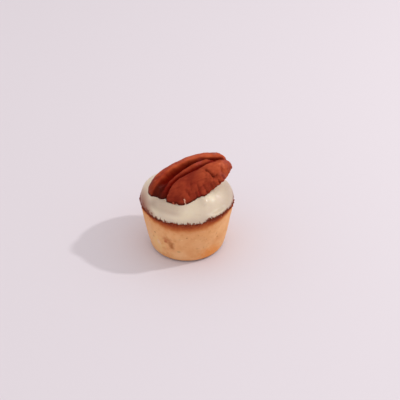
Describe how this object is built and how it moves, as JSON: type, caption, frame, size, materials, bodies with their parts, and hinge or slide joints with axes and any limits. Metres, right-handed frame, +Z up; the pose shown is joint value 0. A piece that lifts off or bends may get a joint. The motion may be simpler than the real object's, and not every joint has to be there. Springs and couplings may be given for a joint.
{
  "type": "iced mini cake with pecan half",
  "caption": "Small round-tin cake with a thick poured white icing cap and a shelled pecan half pressed into the top; stands on its flat base.",
  "frame": {"origin": "centre of the cake's flat base, on the axis of its round body", "axes": "+Z up; +X across the cake towards the raised end of the pecan half; -Y is the side the picture looks at"},
  "size_m": [0.038, 0.038, 0.041],
  "materials": {
    "baked_crumb": "golden baked sponge crust with a fine crumb, darker brown at the rim",
    "white_icing": "thick off-white poured icing, smooth with a soft gloss",
    "pecan_skin": "red-brown pecan skin with a faint waxy sheen, dark in the grooves"
  },
  "bodies": {
    "root": {"cake": "baked_crumb", "icing": "white_icing", "pecan_half": "pecan_skin"}
  },
  "joints": []
}
